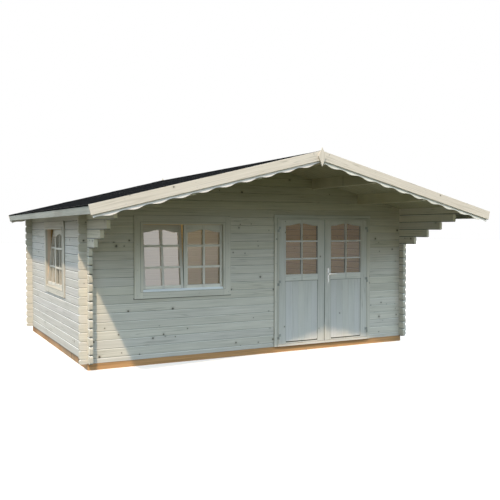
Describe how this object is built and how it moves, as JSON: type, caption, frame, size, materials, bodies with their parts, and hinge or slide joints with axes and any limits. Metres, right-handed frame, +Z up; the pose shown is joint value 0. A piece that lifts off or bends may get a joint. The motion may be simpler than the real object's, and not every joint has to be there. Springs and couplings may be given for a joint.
{
  "type": "log cabin",
  "caption": "Garden log cabin of interlocking wall logs with a low felted gable roof far out over the front, glazed double door and two double windows.",
  "frame": {"origin": "on the ground, in the middle of the roof's plan", "axes": "+Z up, the front with the double door faces -Y, +X to the right seen from the front"},
  "size_m": [5.816, 5.636, 2.8138],
  "materials": {
    "log_wood": "pale grey-green wood stain over spruce, satin",
    "base_wood": "pressure-impregnated, brown",
    "floor_wood": "bare spruce boards",
    "roof_wood": "bare and lightly stained spruce",
    "roof_felt": "mineral-faced bitumen roofing felt",
    "barge_wood": "cream stain, satin",
    "eave_wood": "pale grey stain, satin",
    "frame_wood": "pale grey-green stain, satin",
    "door_wood": "pale grey-green stain, satin",
    "window_glass": "clear float glass",
    "hinge_steel": "zinc-plated",
    "handle_metal": "satin"
  },
  "bodies": {
    "cabin": {"front_wall_left": "log_wood", "front_wall_right": "log_wood", "back_wall": "log_wood", "front_gable": "log_wood", "back_gable": "log_wood", "left_wall": "log_wood", "right_wall": "log_wood", "left_eave_logs": "log_wood", "right_eave_logs": "log_wood", "base_long_beams": "base_wood", "base_cross_beams": "base_wood", "floor_boards": "floor_wood", "left_purlins": "roof_wood", "right_purlins": "roof_wood", "ridge_purlin": "roof_wood", "left_roof_boards": "roof_wood", "right_roof_boards": "roof_wood", "left_roof_felt": "roof_felt", "right_roof_felt": "roof_felt", "left_barge_boards": "barge_wood", "right_barge_boards": "barge_wood", "left_scalloped_boards": "barge_wood", "right_scalloped_boards": "barge_wood", "ridge_finials": "barge_wood", "eave_boards": "eave_wood", "front_window_frame": "frame_wood", "side_window_frame": "frame_wood", "front_window_sashes": "frame_wood", "side_window_sashes": "frame_wood", "door_jambs": "frame_wood", "door_head": "frame_wood", "door_threshold": "frame_wood", "front_window_glass": "window_glass", "side_window_glass": "window_glass", "door_frame_hinges": "hinge_steel"},
    "door_left": {"left_leaf_frame": "door_wood", "left_leaf_panel": "door_wood", "left_leaf_glass": "window_glass", "left_leaf_hinges": "hinge_steel"},
    "door_right": {"right_leaf_frame": "door_wood", "right_leaf_panel": "door_wood", "right_leaf_glass": "window_glass", "right_leaf_hinges": "hinge_steel", "handle_plates": "handle_metal"},
    "lever": {"door_lever": "handle_metal"}
  },
  "joints": [
    {"name": "door_left_swing", "type": "hinge", "parent": "cabin", "child": "door_left", "pos_m": [0.2475, -1.332, 0], "axis": [0, 0, -1], "range_deg": [0, 120]},
    {"name": "door_right_swing", "type": "hinge", "parent": "cabin", "child": "door_right", "pos_m": [1.8365, -1.332, 0], "axis": [0, 0, 1], "range_deg": [0, 120]},
    {"name": "lever_turn", "type": "hinge", "parent": "door_right", "child": "lever", "pos_m": [1.113, -1.302, 1.127], "axis": [0, 1, 0], "range_deg": [0, 45], "stiffness_Nm_per_rad": 1.5}
  ]
}
